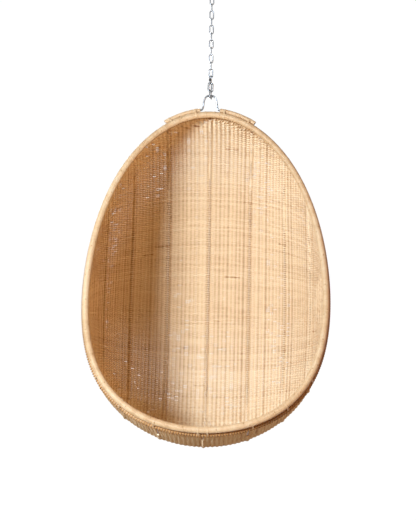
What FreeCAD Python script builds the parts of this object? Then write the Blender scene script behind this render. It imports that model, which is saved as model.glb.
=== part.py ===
"""Hanging egg chair: a woven rattan egg on a bent steel bail, a chain sling and a ceiling fitting.

All sizes are in millimetres. The origin is the centre of the ceiling plate's top face, +Z is up, and the
open front of the egg faces -Y. The egg is laid out on its tilted rim plane: x runs across, v runs down the
plane from the top of the rim, and w runs back into the egg, square to the plane.
"""

import FreeCAD
import Part
import math
import os

Vector = FreeCAD.Vector

# Clearances
CLEARANCE = 0.3
PIN_CLEARANCE = 0.05

# Ceiling fitting
PLATE_RADIUS = 45.0
PLATE_THICKNESS = 5.0
PLATE_EDGE_ROUND = 1.0
SCREW_HOLE_RADIUS = 3.25
SCREW_CIRCLE_RADIUS = 33.0
SCREW_COUNT = 4
EYE_ROD_RADIUS = 4.0
EYE_HALF_WIDTH = 13.0
EYE_DROP = 57.6

# Snap hook
HOOK_ROD_RADIUS = 3.0
HOOK_HALF_WIDTH = 10.0
HOOK_LENGTH = 64.0
GATE_RADIUS = 2.6
GATE_PIN_RADIUS = 1.1
GATE_PIN_RISE = 8.8
GATE_SLOT_DEPTH = 3.2
TONGUE_THICKNESS = 2.4
TONGUE_RADIUS = 2.2
HOOK_NOSE_LENGTH = 2.0

# Chain
LINK_ROD_RADIUS = 1.95
LINK_INSIDE_LENGTH = 25.8
LINK_INSIDE_WIDTH = 8.6
LINK_COUNT = 11
SLING_SIDE_LINKS = 3
QUICK_LINK_ROD_RADIUS = 1.7
QUICK_LINK_GAP = 4.5
NUT_ACROSS_FLATS = 6.1
NUT_LENGTH = 9.0
NUT_DROP = 2.0
SLING_BACK_X = 2.2
SLING_FRONT_X = 2.45

# Bail, cap poles and lashings
BAIL_ROD_RADIUS = 3.0
BAIL_HEIGHT = 49.3
BAIL_TOP_HALF_FLAT = 5.0
BAIL_SHOULDER_HALF_WIDTH = 20.0
BAIL_SHOULDER_DROP = 13.0
BAIL_LEG_HALF_WIDTH = 23.5
BAIL_LEG_DROP = 30.0
BAIL_SHOULDER_SLOPE = 0.35
BAIL_LEG_SLOPE = 0.05
BAIL_ARM_START = 34.5
CAP_RADIUS = 7.5
CAP_START = 35.0
CAP_END = 156.0
ARM_END_INSIDE_CAP = 6.0
LASHING_PLACES = (52.0, 140.0)
BAND_THICKNESS = 1.0
LASHING_WIDTH = 9.0

# Rim and hoop
RIM_TILT_DEGREES = 23.8
RIM_LENGTH = 1129.0
RIM_HALF_WIDTH = 385.5
RIM_EGG_TAPER = 0.134
RIM_FULLNESS = 0.141
RIM_LOW_SHOULDER = 0.095
RIM_POLE_RADIUS = 9.2
RIM_WRAP_THICKNESS = 1.5
HOOP_RADIUS = 4.8
HOOP_SETBACK = 24.0
HOOP_SPREAD = 9.5
TIE_WIDTH = 8.0
TIE_TO_RIB_GAP = 6.0

# Woven shell
SHELL_DEPTH = 560.0
SHELL_THICKNESS = 8.0
SHELL_EDGE_GAP = 4.5
SHELL_TOP_SHARPNESS = 0.45
SHELL_BOTTOM_SHARPNESS = 0.37
SECTION_EXPONENT = 2.2
SIDE_BULGE = 0.085
ROW_FAN_DEGREES = (25.0, 17.0, 6.0)
STAKE_GATHER = 0.07
RIB_RADIUS = 4.4
RIB_PITCH = 157.0
RIBS_EACH_SIDE = 3
NARROWEST_PANEL = 8.0

# Derived values
LINK_PITCH = LINK_INSIDE_LENGTH - CLEARANCE
LINK_HALF_REACH = LINK_INSIDE_LENGTH / 2 + LINK_ROD_RADIUS
LINK_BEND_RADIUS = LINK_INSIDE_WIDTH / 2 + LINK_ROD_RADIUS
RIM_RADIUS = RIM_POLE_RADIUS + CLEARANCE + RIM_WRAP_THICKNESS
CAP_OFFSET = RIM_RADIUS + CAP_RADIUS + CLEARANCE
SHELL_EDGE_DEPTH = HOOP_SETBACK + HOOP_RADIUS + SHELL_EDGE_GAP
TILT_SIN = math.sin(math.radians(RIM_TILT_DEGREES))
TILT_COS = math.cos(math.radians(RIM_TILT_DEGREES))

EYE_Z = -EYE_DROP
HOOK_TOP_Z = EYE_Z + EYE_ROD_RADIUS + CLEARANCE + HOOK_ROD_RADIUS
HOOK_LOW_Z = HOOK_TOP_Z - (HOOK_LENGTH - 2 * HOOK_ROD_RADIUS)
FIRST_LINK_TOP_Z = HOOK_LOW_Z + HOOK_ROD_RADIUS + CLEARANCE + LINK_ROD_RADIUS
FIRST_LINK_Z = FIRST_LINK_TOP_Z - LINK_HALF_REACH
JUNCTION_Z = FIRST_LINK_Z - (LINK_COUNT - 1) * LINK_PITCH
JUNCTION_BEND_Z = JUNCTION_Z - LINK_INSIDE_LENGTH / 2 + LINK_INSIDE_WIDTH / 2

SLING_LENGTH = SLING_SIDE_LINKS * LINK_PITCH
SLING_SPREAD = LINK_HALF_REACH
SLING_DROP = math.sqrt(SLING_LENGTH ** 2 - SLING_SPREAD ** 2)
BOTTOM_LINK_Z = JUNCTION_BEND_Z - SLING_DROP
BAIL_BAR_Z = BOTTOM_LINK_Z + LINK_ROD_RADIUS + CLEARANCE + BAIL_ROD_RADIUS
RIM_TOP_Y = -CAP_OFFSET * TILT_SIN
RIM_TOP_Z = BAIL_BAR_Z - BAIL_HEIGHT - CAP_OFFSET * TILT_COS


def to_frame(x, v, w):
    """Turns a point laid out on the rim plane into the chair's own frame."""
    return Vector(
        x,
        RIM_TOP_Y - v * TILT_SIN + w * TILT_COS,
        RIM_TOP_Z - v * TILT_COS - w * TILT_SIN,
    )


def rim_flat(angle):
    """The rim's centre line on its plane: (x, v) at an angle that runs from 0 at the top to 180 degrees."""
    cosine = math.cos(angle)
    fullness = 1 - RIM_EGG_TAPER * cosine + RIM_FULLNESS * cosine ** 2 - RIM_LOW_SHOULDER * cosine ** 3
    return RIM_HALF_WIDTH * math.sin(angle) * fullness, RIM_LENGTH / 2 * (1 - cosine)


def rim_offset_flat(angle, offset):
    """A point beside the rim's centre line, moved outwards on its plane."""
    step = 1e-4
    x0, v0 = rim_flat(angle - step)
    x1, v1 = rim_flat(angle + step)
    run = math.hypot(x1 - x0, v1 - v0)
    x, v = rim_flat(angle)
    return x + offset * (v1 - v0) / run, v - offset * (x1 - x0) / run


def rim_point(angle, offset=0.0, depth=0.0):
    """A point beside the rim, moved outwards on the rim plane and back from it."""
    x, v = rim_offset_flat(angle, offset)
    return to_frame(x, v, depth)


def rim_direction(angle, offset=0.0, depth=0.0):
    """The unit direction of a line that runs beside the rim."""
    step = 1e-3
    ahead = rim_point(angle + step, offset, depth)
    behind = rim_point(angle - step, offset, depth)
    return (ahead - behind).normalize()


def rim_angle_at(x_wanted, offset):
    """The angle on the upper rim at which a line beside the rim reaches a given x."""
    low, high = 0.0, math.pi / 3
    for _ in range(40):
        middle = (low + high) / 2
        if rim_offset_flat(middle, offset)[0] < x_wanted:
            low = middle
        else:
            high = middle
    return (low + high) / 2


def arc_middle(start, direction, end):
    """The middle point of the arc that leaves start along direction and ends at end."""
    chord = end - start
    along = Vector(chord).normalize()
    side = direction - along * direction.dot(along)
    if side.Length < 1e-7:
        return None
    swing = math.acos(max(-1.0, min(1.0, direction.dot(along))))
    return (start + end) * 0.5 + side.normalize() * (chord.Length / 2 * math.tan(swing / 2))


def two_arcs(start, start_direction, end, end_direction):
    """Two tangent arcs that join two points along their two directions."""
    chord = end - start
    both = start_direction + end_direction
    a = 2 * (start_direction.dot(end_direction) - 1)
    b = -2 * chord.dot(both)
    c = chord.dot(chord)
    if abs(a) < 1e-9:
        reach = -c / b
    else:
        reach = (-b - math.sqrt(b * b - 4 * a * c)) / (2 * a)
    joint = (start + end + (start_direction - end_direction) * reach) * 0.5
    edges = []
    for near, far, direction in ((start, joint, start_direction), (joint, end, None)):
        if direction is None:
            middle = arc_middle(far, end_direction * -1, near)
        else:
            middle = arc_middle(near, direction, far)
        if middle is None:
            edges.append(Part.LineSegment(near, far).toShape())
        else:
            edges.append(Part.Arc(near, middle, far).toShape())
    return edges


def smooth_path(points, directions, closed=False):
    """A path of tangent arcs through points with known directions."""
    edges = []
    pairs = list(zip(points, directions))
    if closed:
        pairs.append(pairs[0])
    for (start, start_direction), (end, end_direction) in zip(pairs, pairs[1:]):
        edges.extend(two_arcs(start, start_direction, end, end_direction))
    return Part.Wire(edges)


def round_bar(path, start, direction, radius):
    """A round bar swept along a path from its start."""
    circle = Part.Wire([Part.makeCircle(radius, start, direction)])
    return path.makePipeShell([circle], True, False)


def stadium_path(half_reach, bend_radius, origin, along, across):
    """The closed centre line of a chain link: its long axis, its width axis and its centre are given."""
    straight = half_reach - bend_radius
    corners = {}
    for i in (-1, 1):
        for j in (-1, 1):
            corners[i, j] = origin + across * (bend_radius * i) + along * (straight * j)
    edges = [
        Part.LineSegment(corners[1, -1], corners[1, 1]).toShape(),
        Part.Arc(corners[1, 1], origin + along * half_reach, corners[-1, 1]).toShape(),
        Part.LineSegment(corners[-1, 1], corners[-1, -1]).toShape(),
        Part.Arc(corners[-1, -1], origin - along * half_reach, corners[1, -1]).toShape(),
    ]
    return Part.Wire(edges), corners[1, -1]


def link(origin, along, across, rod_radius, half_reach, bend_radius):
    """One closed chain link."""
    path, start = stadium_path(half_reach, bend_radius, origin, along, across)
    return round_bar(path, start, along, rod_radius)


def chain_link(origin, along, across):
    """One link of the chain at its own size."""
    return link(origin, along, across, LINK_ROD_RADIUS, LINK_HALF_REACH, LINK_BEND_RADIUS)


def make_ceiling_plate():
    """The round plate that screws to the ceiling, with its free screw holes."""
    plate = Part.makeCylinder(PLATE_RADIUS, PLATE_THICKNESS, Vector(0, 0, -PLATE_THICKNESS))
    lower_edges = [e for e in plate.Edges if abs(e.CenterOfMass.z + PLATE_THICKNESS) < 1e-6]
    plate = plate.makeFillet(PLATE_EDGE_ROUND, lower_edges)
    for i in range(SCREW_COUNT):
        angle = 2 * math.pi * (i + 0.5) / SCREW_COUNT
        centre = Vector(
            SCREW_CIRCLE_RADIUS * math.cos(angle),
            SCREW_CIRCLE_RADIUS * math.sin(angle),
            -2 * PLATE_THICKNESS,
        )
        plate = plate.cut(Part.makeCylinder(SCREW_HOLE_RADIUS, 3 * PLATE_THICKNESS, centre))
    return plate


def make_ceiling_eye():
    """The bent rod under the plate that the snap hook hangs on."""
    bend_z = EYE_Z + EYE_HALF_WIDTH
    left_top = Vector(-EYE_HALF_WIDTH, 0, -PLATE_THICKNESS)
    left_low = Vector(-EYE_HALF_WIDTH, 0, bend_z)
    right_low = Vector(EYE_HALF_WIDTH, 0, bend_z)
    right_top = Vector(EYE_HALF_WIDTH, 0, -PLATE_THICKNESS)
    path = Part.Wire([
        Part.LineSegment(left_top, left_low).toShape(),
        Part.Arc(left_low, Vector(0, 0, EYE_Z), right_low).toShape(),
        Part.LineSegment(right_low, right_top).toShape(),
    ])
    return round_bar(path, left_top, Vector(0, 0, -1), EYE_ROD_RADIUS)


def hook_levels():
    """Heights along the snap hook: upper and lower bend centres, the gate's pin and its two ends."""
    upper = HOOK_TOP_Z - HOOK_HALF_WIDTH
    lower = HOOK_LOW_Z + HOOK_HALF_WIDTH
    pin = lower + GATE_PIN_RISE
    body_end = pin - GATE_RADIUS - 3 * CLEARANCE
    nose = upper - HOOK_NOSE_LENGTH
    return upper, lower, pin, body_end, nose


def make_snap_hook_body():
    """The snap hook's bent rod, open at the back for the gate, with the tongue that carries the gate."""
    upper, lower, pin, body_end, nose = hook_levels()
    front, back = -HOOK_HALF_WIDTH, HOOK_HALF_WIDTH
    points = [
        Vector(0, back, body_end),
        Vector(0, back, lower),
        Vector(0, front, lower),
        Vector(0, front, upper),
        Vector(0, back, upper),
        Vector(0, back, nose),
    ]
    path = Part.Wire([
        Part.LineSegment(points[0], points[1]).toShape(),
        Part.Arc(points[1], Vector(0, 0, HOOK_LOW_Z), points[2]).toShape(),
        Part.LineSegment(points[2], points[3]).toShape(),
        Part.Arc(points[3], Vector(0, 0, HOOK_TOP_Z), points[4]).toShape(),
        Part.LineSegment(points[4], points[5]).toShape(),
    ])
    body = round_bar(path, points[0], Vector(0, 0, -1), HOOK_ROD_RADIUS)
    half = TONGUE_THICKNESS / 2
    root = Part.makeBox(
        TONGUE_THICKNESS, 2 * TONGUE_RADIUS, pin - body_end + 1.0,
        Vector(-half, back - TONGUE_RADIUS, body_end - 1.0),
    )
    tip = Part.makeCylinder(TONGUE_RADIUS, TONGUE_THICKNESS, Vector(-half, back, pin), Vector(1, 0, 0))
    hole = Part.makeCylinder(
        GATE_PIN_RADIUS + PIN_CLEARANCE, 4 * half, Vector(-2 * half, back, pin), Vector(1, 0, 0)
    )
    return body.fuse(root).fuse(tip).cut(hole).removeSplitter()


def make_snap_hook_gate():
    """The snap hook's gate: a round bar, forked at the foot, that swings inwards on its pin."""
    _, _, pin, _, nose = hook_levels()
    back = HOOK_HALF_WIDTH
    bar = Part.makeCylinder(GATE_RADIUS, nose - CLEARANCE - pin, Vector(0, back, pin))
    foot = Part.makeSphere(GATE_RADIUS, Vector(0, back, pin))
    slot_width = TONGUE_THICKNESS + 2 * CLEARANCE
    slot = Part.makeBox(
        slot_width, 4 * GATE_RADIUS, GATE_SLOT_DEPTH + 2 * GATE_RADIUS,
        Vector(-slot_width / 2, back - 2 * GATE_RADIUS, pin - 2 * GATE_RADIUS),
    )
    hole = Part.makeCylinder(
        GATE_PIN_RADIUS + PIN_CLEARANCE, 4 * GATE_RADIUS, Vector(-2 * GATE_RADIUS, back, pin), Vector(1, 0, 0)
    )
    return bar.fuse(foot).cut(slot).cut(hole).removeSplitter()


def make_snap_hook_pin():
    """The rivet that the gate turns on."""
    _, _, pin, _, _ = hook_levels()
    return Part.makeCylinder(
        GATE_PIN_RADIUS, 2 * GATE_RADIUS, Vector(-GATE_RADIUS, HOOK_HALF_WIDTH, pin), Vector(1, 0, 0)
    )


def make_main_chain():
    """The links of the hanging chain, wide-on and edge-on by turns, from the hook to the junction."""
    links = {}
    for i in range(LINK_COUNT):
        across = Vector(1, 0, 0) if i % 2 == 0 else Vector(0, 1, 0)
        centre = Vector(0, 0, FIRST_LINK_Z - i * LINK_PITCH)
        links["chain_link_%02d" % (i + 1)] = chain_link(centre, Vector(0, 0, -1), across)
    return links


def sling_side(sign):
    """Start, direction and in-plane width axis of one side of the sling: +1 is back, -1 is front."""
    start = Vector(SLING_BACK_X if sign > 0 else -SLING_FRONT_X, 0, JUNCTION_BEND_Z)
    down = Vector(0, sign * SLING_SPREAD, -SLING_DROP) * (1 / SLING_LENGTH)
    width = Vector(0, down.z, -down.y) * -1
    return start, down, width


def make_sling():
    """The six links that go round the bail under the junction, and the quick link that closes them."""
    parts = {}
    for sign, name in ((1, "back"), (-1, "front")):
        start, down, width = sling_side(sign)
        for i in range(SLING_SIDE_LINKS):
            if sign < 0 and i == 0:
                continue
            across = width if i % 2 == 0 else Vector(1, 0, 0)
            centre = start + down * (LINK_HALF_REACH + i * LINK_PITCH)
            parts["sling_link_%s_%d" % (name, i + 1)] = chain_link(centre, down, across)
    along = Vector(SLING_BACK_X + SLING_FRONT_X, 2 * SLING_SPREAD, 0).normalize()
    across = Vector(along.y, -along.x, 0)
    centre = Vector((SLING_BACK_X - SLING_FRONT_X) / 2, 0, BOTTOM_LINK_Z)
    parts["sling_link_bottom"] = chain_link(centre, along, across)
    return parts


def quick_link_layout():
    """Centre, direction, width axis and half reach of the quick link on the sling's front side."""
    start, down, width = sling_side(-1)
    second_top = LINK_PITCH
    low_rod = second_top + LINK_ROD_RADIUS + CLEARANCE + QUICK_LINK_ROD_RADIUS
    half_reach = low_rod / 2
    return start + down * half_reach, down, width, half_reach


def make_quick_link():
    """The quick link's bent rod, with the gap in its front leg, and the six-sided nut that closes it."""
    centre, down, width, half_reach = quick_link_layout()
    bend = LINK_INSIDE_WIDTH / 2 + QUICK_LINK_ROD_RADIUS
    ring = link(centre, down, width, QUICK_LINK_ROD_RADIUS, half_reach, bend)
    front = width * (-1 if width.y > 0 else 1)
    leg = centre + front * bend + down * NUT_DROP
    gap_start = leg - down * (QUICK_LINK_GAP / 2)
    body = ring.cut(Part.makeCylinder(2 * QUICK_LINK_ROD_RADIUS, QUICK_LINK_GAP, gap_start, down))
    corner_radius = NUT_ACROSS_FLATS / math.sqrt(3)
    side = Vector(1, 0, 0)
    other = down.cross(side)
    corners = []
    for i in range(7):
        angle = math.pi / 3 * i
        corners.append(leg - down * (NUT_LENGTH / 2)
                       + side * (corner_radius * math.cos(angle)) + other * (corner_radius * math.sin(angle)))
    nut = Part.Face(Part.makePolygon(corners)).extrude(down * NUT_LENGTH)
    bore = Part.makeCylinder(
        QUICK_LINK_ROD_RADIUS + PIN_CLEARANCE, 2 * NUT_LENGTH, leg - down * NUT_LENGTH, down
    )
    return {"quick_link": body, "quick_link_nut": nut.cut(bore)}


def arm_stations(first_x, last_x, count):
    """Angles along the rim, on the line of the arms, between two places across the chair."""
    first = rim_angle_at(first_x, CAP_OFFSET)
    last = rim_angle_at(last_x, CAP_OFFSET)
    return [first + (last - first) * i / (count - 1) for i in range(count)]


def make_bail():
    """The bent steel rod: a bell-shaped loop whose two feet turn outwards into arms along the rim."""
    shoulder = Vector(BAIL_SHOULDER_HALF_WIDTH, 0, BAIL_BAR_Z - BAIL_SHOULDER_DROP)
    leg = Vector(BAIL_LEG_HALF_WIDTH, 0, BAIL_BAR_Z - BAIL_LEG_DROP)
    right = [
        (Vector(BAIL_TOP_HALF_FLAT, 0, BAIL_BAR_Z), Vector(1, 0, 0)),
        (shoulder, Vector(BAIL_SHOULDER_SLOPE, 0, -1).normalize()),
        (leg, Vector(BAIL_LEG_SLOPE, 0, -1).normalize()),
    ]
    for angle in arm_stations(BAIL_ARM_START, CAP_END - ARM_END_INSIDE_CAP, 5):
        right.append((rim_point(angle, CAP_OFFSET), rim_direction(angle, CAP_OFFSET)))
    left = [(Vector(-p.x, p.y, p.z), Vector(d.x, -d.y, -d.z)) for p, d in reversed(right)]
    stations = left + right
    path = smooth_path([p for p, _ in stations], [d for _, d in stations])
    return round_bar(path, stations[0][0], stations[0][1], BAIL_ROD_RADIUS)


def mirror_x(shape):
    """The same shape on the other side of the chair."""
    return shape.mirror(Vector(0, 0, 0), Vector(1, 0, 0))


def make_cap_pole():
    """The right cap pole: a short wrapped pole, bored for the bail's arm, that lies on the rim."""
    angles = arm_stations(CAP_START, CAP_END, 5)
    points = [rim_point(a, CAP_OFFSET) for a in angles]
    directions = [rim_direction(a, CAP_OFFSET) for a in angles]
    path = smooth_path(points, directions)
    outer = round_bar(path, points[0], directions[0], CAP_RADIUS)
    return outer.cut(round_bar(path, points[0], directions[0], BAIL_ROD_RADIUS + CLEARANCE))


def two_circle_outline(first, first_radius, second, second_radius, normal):
    """The taut closed outline round two circles that lie in the plane square to normal."""
    apart = (second - first).Length
    e1 = (second - first) * (1 / apart)
    e2 = normal.cross(e1)
    cosine = (first_radius - second_radius) / apart
    sine = math.sqrt(1 - cosine ** 2)
    corners = {}
    for key, centre, radius in (("a", first, first_radius), ("b", second, second_radius)):
        for sign in (-1, 1):
            corners[key, sign] = centre + (e1 * cosine + e2 * (sine * sign)) * radius
    return Part.Wire([
        Part.Arc(corners["a", 1], first - e1 * first_radius, corners["a", -1]).toShape(),
        Part.LineSegment(corners["a", -1], corners["b", -1]).toShape(),
        Part.Arc(corners["b", -1], second + e1 * second_radius, corners["b", 1]).toShape(),
        Part.LineSegment(corners["b", 1], corners["a", 1]).toShape(),
    ])


def band(angle, offset, depth, other_radius, width):
    """A flat binding round the wrapped rim and a second pole that lies beside it."""
    direction = rim_direction(angle)
    rim_centre = rim_point(angle)
    other_centre = rim_point(angle, offset, depth)
    half = direction * (width / 2)
    faces = []
    for grow in (CLEARANCE, CLEARANCE + BAND_THICKNESS):
        outline = two_circle_outline(
            rim_centre - half, RIM_RADIUS + grow, other_centre - half, other_radius + grow, direction
        )
        faces.append(Part.Face(outline))
    return faces[1].cut(faces[0]).extrude(direction * width)


def make_lashings():
    """The bindings that tie both cap poles to the rim."""
    bands = []
    for place in LASHING_PLACES:
        right = band(rim_angle_at(place, CAP_OFFSET), CAP_OFFSET, 0.0, CAP_RADIUS, LASHING_WIDTH)
        bands.extend([right, mirror_x(right)])
    return Part.makeCompound(bands)


def rim_ring(offset, depth, radius, stations=24):
    """A closed round pole that runs beside the rim."""
    angles = [2 * math.pi * i / stations for i in range(stations)]
    points = [rim_point(a, offset, depth) for a in angles]
    directions = [rim_direction(a, offset, depth) for a in angles]
    path = smooth_path(points, directions, closed=True)
    return round_bar(path, points[0], directions[0], radius)


def fan_angle(row):
    """The rim angle at which a weft row meets the rim: rows fan out from the sides of the back."""
    first, second, third = [math.radians(value) for value in ROW_FAN_DEGREES]
    return row + first * math.sin(row) + second * math.sin(2 * row) + third * math.sin(3 * row)


def shell_edge_flat(row):
    """Where a weft row starts, beside the hoop."""
    return rim_offset_flat(fan_angle(row), HOOP_SPREAD)


def back_profile(row):
    """The shell's middle line at the back: (v, w) for a row angle from 0 at the top to 180 degrees."""
    share = (1 - math.cos(row)) / 2
    a, b = SHELL_TOP_SHARPNESS, SHELL_BOTTOM_SHARPNESS
    peak = (a / (a + b)) ** a * (b / (a + b)) ** b
    depth = share ** a * (1 - share) ** b / peak
    v = -HOOP_SPREAD + (RIM_LENGTH + 2 * HOOP_SPREAD) * share
    return v, SHELL_EDGE_DEPTH + (SHELL_DEPTH - SHELL_EDGE_DEPTH) * depth


def shell_point(turn, row):
    """A point of the shell's middle surface: turn runs from 0 at the right edge to 90 degrees at the back."""
    edge_x, edge_v = shell_edge_flat(row)
    back_v, back_w = back_profile(row)
    share = (1 - math.cos(row)) / 2
    power = 2 / SECTION_EXPONENT
    across = math.cos(turn) ** power if turn < math.pi / 2 - 1e-9 else 0.0
    inward = math.sin(turn) ** power if turn > 1e-9 else 0.0
    bulge = 1 + SIDE_BULGE * 4 * share * (1 - share) * math.sin(2 * turn) ** 2
    v = edge_v + (back_v - edge_v) * inward
    w = SHELL_EDGE_DEPTH + (back_w - SHELL_EDGE_DEPTH) * inward
    return to_frame(edge_x * across * bulge, v, w)


def evenly(points, count):
    """The same line with its points spaced evenly."""
    lengths = [0.0]
    for a, b in zip(points, points[1:]):
        lengths.append(lengths[-1] + (b - a).Length)
    result = []
    j = 0
    for i in range(count):
        wanted = lengths[-1] * i / (count - 1)
        while j < len(points) - 2 and lengths[j + 1] < wanted:
            j += 1
        span = lengths[j + 1] - lengths[j]
        share = (wanted - lengths[j]) / span if span > 0 else 0.0
        result.append(points[j] + (points[j + 1] - points[j]) * share)
    return result


def gather(row):
    """How far the stakes draw together towards the bottom."""
    return 1 - STAKE_GATHER * ((1 - math.cos(row)) / 2) ** 2


def reach(row):
    """The widest stake that a row still crosses."""
    return shell_edge_flat(row)[0] / gather(row)


def widest_row():
    """The row that crosses the most stakes."""
    rows = [math.pi * i / 720 for i in range(1, 720)]
    return max(rows, key=reach)


WIDEST_ROW = widest_row()


def stake_x(run):
    """The x of the stake that lies a given distance from the middle, measured round the widest row."""
    steps = 1500
    last = shell_point(math.pi / 2, WIDEST_ROW)
    total = 0.0
    for i in range(1, steps + 1):
        turn = math.pi / 2 * (1 - i / steps)
        point = shell_point(turn, WIDEST_ROW)
        total += (point - last).Length
        last = point
        if total >= run:
            return reach(WIDEST_ROW) * math.cos(turn) ** (2 / SECTION_EXPONENT)
    return reach(WIDEST_ROW)


def turn_on(x, row):
    """Where a stake crosses a row, as a turn angle."""
    share = min(1.0, x / reach(row))
    return math.acos(share ** (SECTION_EXPONENT / 2))


def row_limits(x):
    """The first and last rows that a stake crosses."""
    limits = []
    for outside in (1e-4, math.pi - 1e-4):
        low, high = outside, WIDEST_ROW
        if reach(outside) >= x:
            limits.append(outside)
            continue
        for _ in range(50):
            middle = (low + high) / 2
            if reach(middle) < x:
                low = middle
            else:
                high = middle
        limits.append(high)
    return limits


def stake_line(x, count):
    """Points along a stake from its top end to its bottom end, evenly spaced."""
    first, last = row_limits(x)
    fine = []
    steps = 400
    for i in range(steps + 1):
        row = first + (last - first) * (1 - math.cos(math.pi * i / steps)) / 2
        fine.append(shell_point(turn_on(x, row), row))
    return evenly(fine, count)


def row_line(row, x_inner, count):
    """Points along a row from the shell's edge inwards to a stake."""
    last = turn_on(x_inner, row)
    steps = 200
    fine = [shell_point(last * i / steps, row) for i in range(steps + 1)]
    return evenly(fine, count)


def thick_sheet(grid):
    """A closed sheet of the shell's thickness on a grid of points of its middle surface."""
    rows, columns = len(grid), len(grid[0])
    inner, outer = [], []
    for i in range(rows):
        inner_row, outer_row = [], []
        for j in range(columns):
            along = grid[min(i + 1, rows - 1)][j] - grid[max(i - 1, 0)][j]
            across = grid[i][min(j + 1, columns - 1)] - grid[i][max(j - 1, 0)]
            normal = along.cross(across).normalize()
            inner_row.append(grid[i][j] - normal * (SHELL_THICKNESS / 2))
            outer_row.append(grid[i][j] + normal * (SHELL_THICKNESS / 2))
        inner.append(inner_row)
        outer.append(outer_row)
    faces = []
    corners = []
    for points in (inner, outer):
        surface = Part.BSplineSurface()
        surface.interpolate(points)
        u0, u1, v0, v1 = surface.bounds()
        faces.append(surface.toShape())
        corners.append([
            surface.uIso(u0).toShape(),
            surface.uIso(u1).toShape(),
            surface.vIso(v0).toShape(),
            surface.vIso(v1).toShape(),
        ])
    for inner_edge, outer_edge in zip(corners[0], corners[1]):
        faces.append(Part.makeRuledSurface(inner_edge, outer_edge))
    shell = Part.makeShell(faces)
    shell.sewShape(0.02)
    solid = Part.Solid(shell)
    if solid.Volume < 0:
        solid.reverse()
    return solid


def rib_positions():
    """Runs of the ribs from the middle of the back, measured round the widest row."""
    return [RIB_PITCH * i for i in range(RIBS_EACH_SIDE + 1)]


def tie_angles():
    """Places on the right half of the rim for the ties: beside both ends of each rib, and at the widest row."""
    angles = [fan_angle(WIDEST_ROW)]
    aside = RIB_RADIUS + TIE_TO_RIB_GAP + TIE_WIDTH / 2
    for run in rib_positions():
        first, last = [fan_angle(row) for row in row_limits(stake_x(run))]
        for angle, inward in ((first, 1), (last, -1)):
            step = 1e-3
            speed = (rim_point(angle + step) - rim_point(angle)).Length / step
            angles.append(angle + inward * aside / speed)
    return angles


def make_ties():
    """The bindings that tie the back hoop to the rim."""
    bands = []
    for angle in tie_angles():
        right = band(angle, HOOP_SPREAD, HOOP_SETBACK, HOOP_RADIUS, TIE_WIDTH)
        bands.extend([right, mirror_x(right)])
    return Part.makeCompound(bands)


def make_rib(run, saddle):
    """One structural rib, with both ends cut to sit against the hoop: saddle is the hoop with its clearance."""
    x = stake_x(run)
    line = stake_line(x, 121)
    stations = [1] + list(range(8, 115, 8)) + [119]
    points = [line[i] for i in stations]
    directions = [(line[i + 1] - line[i - 1]).normalize() for i in stations]
    into_hoop = (line[1] - line[0]).Length + SHELL_EDGE_GAP + HOOP_RADIUS
    points = [points[0] - directions[0] * into_hoop] + points + [points[-1] + directions[-1] * into_hoop]
    directions = [directions[0]] + directions + [directions[-1]]
    path = smooth_path(points, directions)
    bar = round_bar(path, points[0], directions[0], RIB_RADIUS)
    return bar.cut(saddle).removeSplitter()


def margin_beside(x, side):
    """How far across from a rib the panel beside it starts, so that it clears the rib's round side."""
    wanted = RIB_RADIUS + 1.5 * CLEARANCE
    rib_points = stake_line(x, 60)
    low, high = 0.2 * wanted, 1.3 * wanted
    for _ in range(12):
        margin = (low + high) / 2
        beside = stake_line(x + side * margin, 240)
        nearest = min((point - other).Length for point in rib_points for other in beside)
        if nearest < wanted:
            low = margin
        else:
            high = margin
    return high


def panel_between(first_run, last_run):
    """A woven panel between two neighbouring ribs."""
    columns = 9
    places = [stake_x(first_run + (last_run - first_run) * i / (columns - 1)) for i in range(columns)]
    places[0] += margin_beside(places[0], 1)
    places[-1] -= margin_beside(places[-1], -1)
    return thick_sheet([stake_line(x, 29) for x in places])


def side_panel(first_run):
    """The outermost woven panel, between the last rib and the shell's edge."""
    x = stake_x(first_run)
    x += margin_beside(x, 1)
    first, last = row_limits(x)
    rows = [first + (last - first) * i / 200 for i in range(1, 200)]
    wide = []
    for row in rows:
        width = (shell_point(turn_on(x, row), row) - shell_point(0.0, row)).Length
        if width >= NARROWEST_PANEL:
            wide.append(row)
    count = 25
    lines = []
    for i in range(count):
        row = wide[0] + (wide[-1] - wide[0]) * (1 - math.cos(math.pi * i / (count - 1))) / 2
        lines.append(row_line(row, x, 13))
    return thick_sheet(lines)


def make_shell():
    """All ribs and woven panels."""
    parts = {}
    runs = rib_positions()
    saddle = rim_ring(HOOP_SPREAD, HOOP_SETBACK, HOOP_RADIUS + CLEARANCE)
    parts["rib_centre"] = make_rib(0.0, saddle)
    for i, run in enumerate(runs[1:], start=1):
        rib = make_rib(run, saddle)
        parts["rib_right_%d" % i] = rib
        parts["rib_left_%d" % i] = mirror_x(rib)
    for i, (first, last) in enumerate(zip(runs, runs[1:]), start=1):
        panel = panel_between(first, last)
        parts["woven_panel_right_%d" % i] = panel
        parts["woven_panel_left_%d" % i] = mirror_x(panel)
    panel = side_panel(runs[-1])
    parts["woven_panel_right_side"] = panel
    parts["woven_panel_left_side"] = mirror_x(panel)
    return parts


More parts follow.
